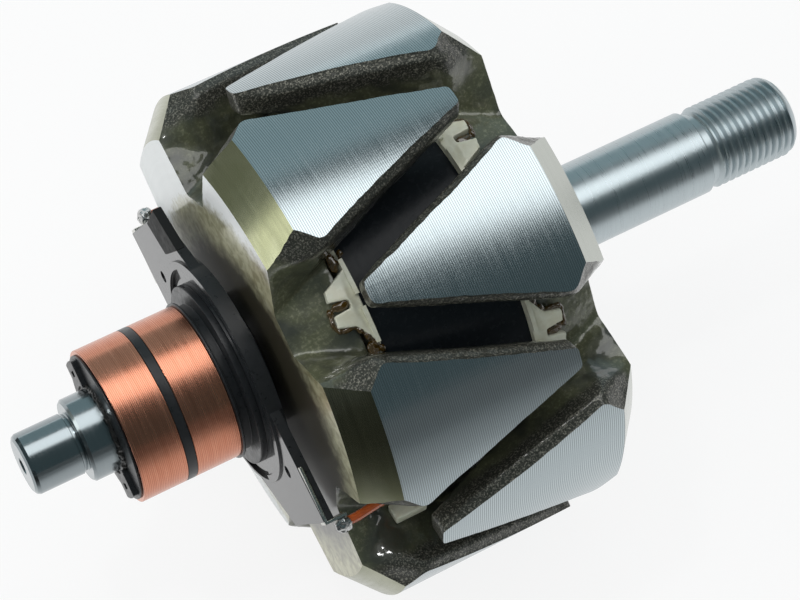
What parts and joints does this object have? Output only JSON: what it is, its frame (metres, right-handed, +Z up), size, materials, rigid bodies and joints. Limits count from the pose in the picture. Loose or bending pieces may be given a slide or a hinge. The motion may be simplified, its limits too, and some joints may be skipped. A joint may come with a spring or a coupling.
{
  "type": "claw-pole alternator rotor",
  "caption": "Claw-pole rotor for a vehicle alternator: interlocking forged poles over a field coil on a steel shaft, with copper slip rings and a threaded drive end.",
  "frame": {"origin": "on the shaft axis, at the middle of the drive-end journal", "axes": "+X along the shaft towards the threaded drive end, +Z up with the rotor lying on a claw of the slip-end pole"},
  "size_m": [0.165, 0.102, 0.102],
  "materials": {
    "shaft_steel": "ground and polished",
    "pole_iron": "forged, with turned outer faces",
    "bobbin_nylon": "moulded",
    "winding_copper": "enamelled wire",
    "black_tape": "varnished tape",
    "black_moulding": "moulded phenolic",
    "ring_copper": "turned copper",
    "tinned_brass": "tinned",
    "solder": "soldered",
    "lead_enamel": "enamelled"
  },
  "bodies": {
    "root": {"shaft": "shaft_steel", "field_core": "pole_iron", "slip_end_pole": "pole_iron", "drive_end_pole": "pole_iron", "coil_tube": "bobbin_nylon", "slip_end_cheek": "bobbin_nylon", "drive_end_cheek": "bobbin_nylon", "field_winding": "winding_copper", "coil_wrap": "black_tape", "slip_ring_hub": "black_moulding", "outer_slip_ring": "ring_copper", "inner_slip_ring": "ring_copper", "terminal_plate": "black_moulding", "lead_block": "black_moulding", "near_terminal": "tinned_brass", "far_terminal": "tinned_brass", "near_solder": "solder", "far_solder": "solder", "near_lead": "lead_enamel", "far_lead": "lead_enamel"}
  },
  "joints": []
}
